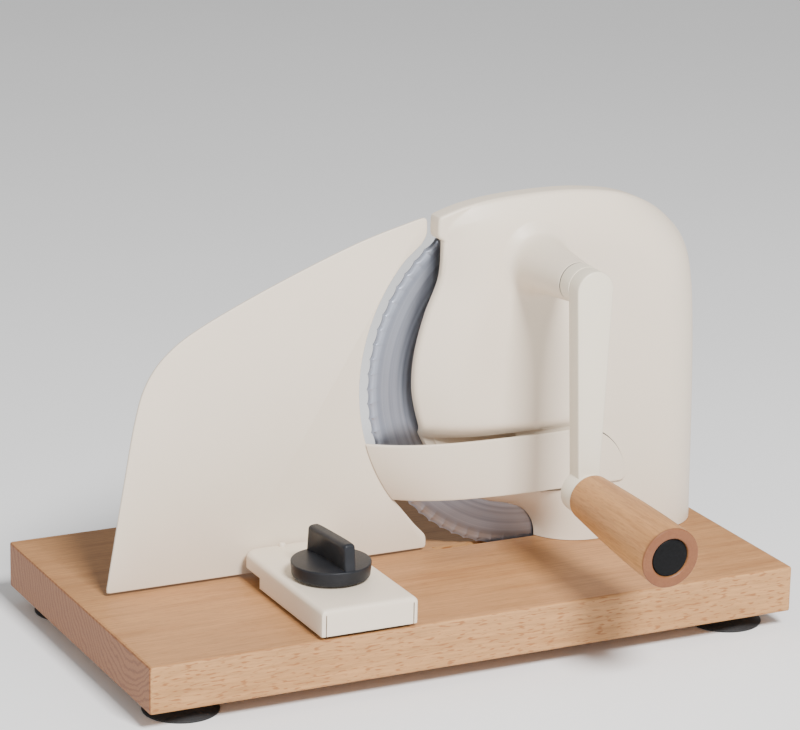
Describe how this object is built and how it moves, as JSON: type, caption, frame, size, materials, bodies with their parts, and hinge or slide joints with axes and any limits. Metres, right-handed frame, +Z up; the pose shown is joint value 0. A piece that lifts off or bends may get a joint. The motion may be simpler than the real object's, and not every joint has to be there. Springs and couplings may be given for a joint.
{
  "type": "hand-cranked bread slicer",
  "caption": "Hand-cranked bread slicer: scalloped round blade in a cast housing, geared crank with wooden grip, sliding stop plate with clamp knob, wooden board on suction feet.",
  "frame": {"origin": "on the table under the middle of the whole object's bounding box", "axes": "+X along the board, from the stop plate's end to the housing's end; +Y from the crank's side to the blade's back; +Z up"},
  "size_m": [0.35, 0.2548, 0.2181],
  "materials": {
    "beech": "oiled",
    "cream_paint": "semi-gloss",
    "blade_steel": "ground",
    "zinc_steel": "satin",
    "gear_steel": "machined",
    "brass": "satin",
    "black_plastic": "matte",
    "black_rubber": "matte",
    "guide_plastic": "matte"
  },
  "bodies": {
    "base": {"base_board": "beech", "suction_foot_1": "black_rubber", "suction_foot_2": "black_rubber", "suction_foot_3": "black_rubber", "suction_foot_4": "black_rubber", "foot_screw_1": "zinc_steel", "foot_screw_2": "zinc_steel", "foot_screw_3": "zinc_steel", "foot_screw_4": "zinc_steel", "housing_shell": "cream_paint", "rear_plate": "cream_paint", "rear_plate_screw_1": "zinc_steel", "rear_plate_screw_2": "zinc_steel", "rear_plate_screw_3": "zinc_steel", "rear_plate_screw_4": "zinc_steel", "housing_screw_1": "zinc_steel", "housing_screw_2": "zinc_steel", "housing_screw_3": "zinc_steel", "slice_deflector": "cream_paint", "deflector_screw_1": "zinc_steel", "deflector_screw_2": "zinc_steel", "crank_bush": "brass", "blade_bush": "brass", "idler_pin": "zinc_steel", "guide_block": "guide_plastic", "guide_screw_1": "zinc_steel", "guide_screw_2": "zinc_steel", "clamp_stud": "zinc_steel"},
    "crank": {"crank_arm": "cream_paint", "crank_shaft": "zinc_steel", "crank_gear": "gear_steel", "grip_pin": "zinc_steel", "grip_nut": "zinc_steel", "hub_grub_screw": "zinc_steel"},
    "grip": {"handle_grip": "beech", "grip_end_plug": "black_plastic"},
    "idler": {"idler_wheel": "gear_steel", "idler_pinion": "gear_steel"},
    "blade": {"slicing_blade": "blade_steel", "blade_shaft": "zinc_steel", "blade_pinion": "gear_steel", "blade_clamp_disc": "zinc_steel", "blade_screw": "zinc_steel"},
    "fence_unit": {"stop_plate": "cream_paint", "slide_bracket": "cream_paint", "fence_rivet_1": "zinc_steel", "fence_rivet_2": "zinc_steel"},
    "knob": {"clamp_knob": "black_plastic", "knob_insert": "brass", "clamp_washer": "zinc_steel"}
  },
  "joints": [
    {"name": "crank_turn", "type": "hinge", "parent": "base", "child": "crank", "pos_m": [0.0648, -0.00306, 0.1844], "axis": [0, 1, 0], "continuous": true},
    {"name": "grip_spin", "type": "hinge", "parent": "crank", "child": "grip", "pos_m": [0.0648, -0.04606, 0.0799], "axis": [0, -0.9972, -0.075], "continuous": true},
    {"name": "idler_turn", "type": "hinge", "parent": "base", "child": "idler", "pos_m": [0.07837, 0.02194, 0.15487], "axis": [0, 1, 0], "continuous": true},
    {"name": "blade_turn", "type": "hinge", "parent": "base", "child": "blade", "pos_m": [0.0745, 0.02694, 0.1226], "axis": [0, 1, 0], "continuous": true},
    {"name": "stop_plate_slide", "type": "slide", "parent": "base", "child": "fence_unit", "axis": [0, -1, 0], "range_m": [0, 0.015]},
    {"name": "knob_turn", "type": "hinge", "parent": "base", "child": "knob", "pos_m": [-0.0638, -0.02206, 0.053], "axis": [0, 0, 1], "range_deg": [0, 270]}
  ],
  "couplings": [
    {"joint": "idler_turn", "follows": "crank_turn", "ratio": -1.6},
    {"joint": "blade_turn", "follows": "crank_turn", "ratio": 2.56}
  ]
}
